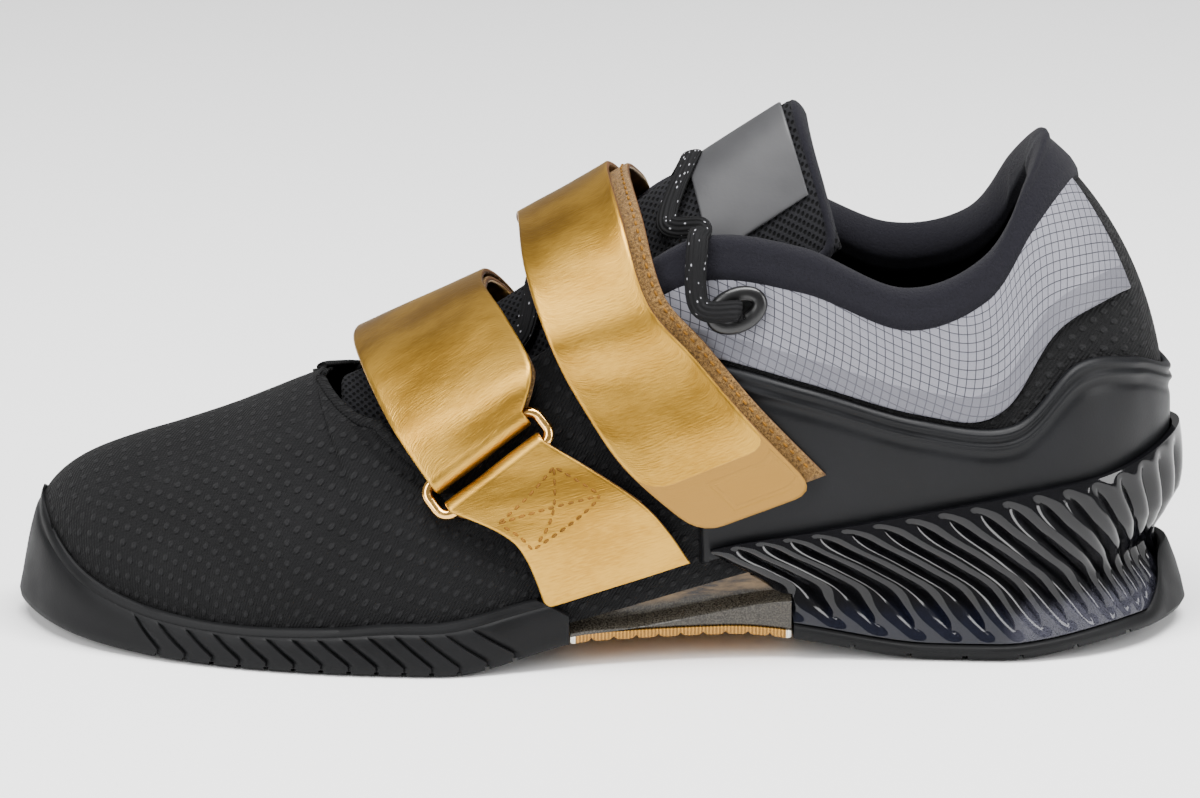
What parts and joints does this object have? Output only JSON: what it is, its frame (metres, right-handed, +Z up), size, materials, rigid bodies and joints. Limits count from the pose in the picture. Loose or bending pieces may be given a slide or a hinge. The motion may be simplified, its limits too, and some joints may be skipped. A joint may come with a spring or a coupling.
{
  "type": "weightlifting shoe",
  "caption": "Low weightlifting shoe for the left foot with a raised hard heel block, a knit upper and two crossing instep straps with wire rings",
  "frame": {"origin": "middle of the shoe's bounding box in plan, on the floor under the sole", "axes": "+X points to the heel, -Y to the lateral side, +Z up"},
  "size_m": [0.3, 0.1026, 0.1348],
  "materials": {
    "knit": "fine engineered knit",
    "foam": "smooth sock cloth over foam",
    "sole_rubber": "matte moulded rubber",
    "gold_rubber": "satin ribbed rubber",
    "smoky_plate": "smoky clear plastic",
    "clear_shell": "glossy clear smoky plastic",
    "dark_core": "smooth dark plastic",
    "counter_film": "smooth matte film",
    "ripstop": "thin pale ripstop",
    "binding": "soft brushed binding",
    "tongue_mesh": "padded air mesh",
    "label": "smooth printed film",
    "gold_wire": "polished wire",
    "gold_strap": "metallic coated leather, cross grain",
    "eyelet_plastic": "glossy moulded",
    "lace_cord": "flat woven cord"
  },
  "bodies": {
    "root": {"upper": "knit", "insole": "foam", "outsole_forefoot": "sole_rubber", "outsole_waist": "gold_rubber", "waist_plate": "smoky_plate", "heel_shell": "clear_shell", "heel_core": "dark_core", "outsole_heel": "sole_rubber", "heel_counter": "counter_film", "quarter_lateral": "ripstop", "quarter_medial": "ripstop", "collar_binding": "binding", "tongue": "tongue_mesh", "tongue_label": "label", "front_ring": "gold_wire", "rear_ring": "gold_wire", "front_strap": "gold_strap", "front_anchor": "gold_strap", "rear_strap": "gold_strap", "rear_anchor": "gold_strap", "eyelet_lateral": "eyelet_plastic", "eyelet_medial": "eyelet_plastic", "lace_lower": "lace_cord", "lace_upper": "lace_cord"}
  },
  "joints": []
}
